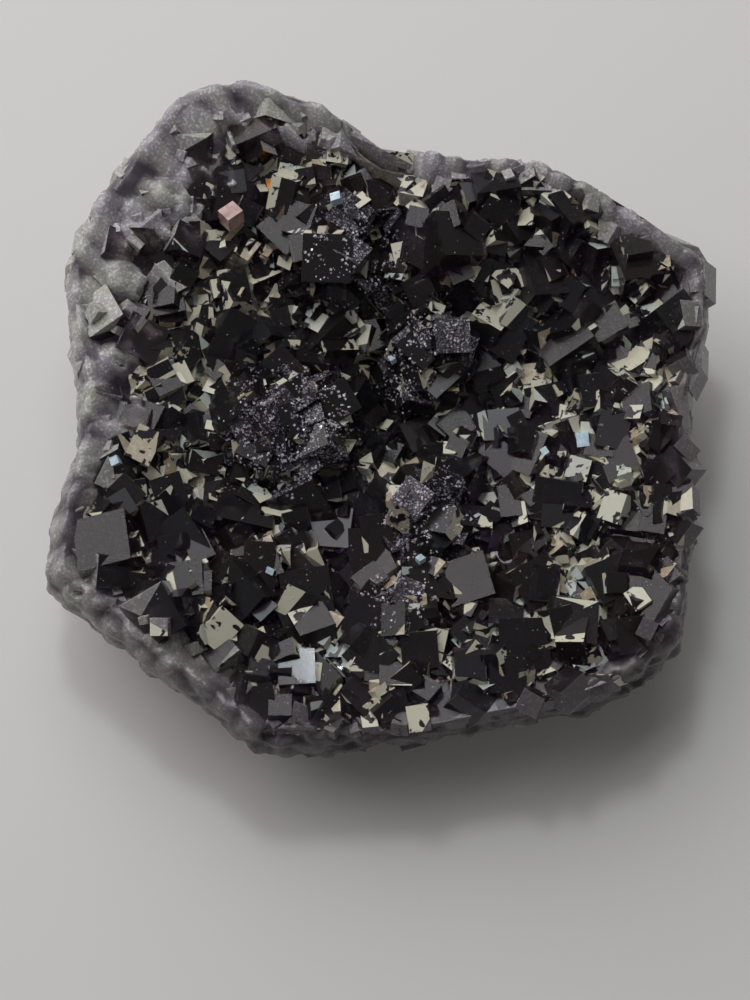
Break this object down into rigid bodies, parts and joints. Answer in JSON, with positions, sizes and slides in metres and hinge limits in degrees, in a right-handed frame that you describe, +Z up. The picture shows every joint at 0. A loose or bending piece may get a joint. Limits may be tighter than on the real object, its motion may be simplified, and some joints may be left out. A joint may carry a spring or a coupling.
{
  "type": "fluorite specimen",
  "caption": "Bowl-shaped cluster of dark intergrown cubic crystals on pale rock with a flat broken back, lying with the crystals up.",
  "frame": {"origin": "middle of the rock's flat back, on the surface that the specimen lies on", "axes": "+Z up out of the flat back, through the crystals; +X to the right and +Y to the far side, seen from above with the notch between the two lobes at the far side"},
  "size_m": [0.1513, 0.1512, 0.0466],
  "materials": {
    "rock": "rough broken stone, brown-grey with pale grains",
    "fluorite": "clear dark violet to smoky crystal with bright flat faces"
  },
  "bodies": {
    "root": {"rock_matrix": "rock", "fluorite_crust": "fluorite"}
  },
  "joints": []
}
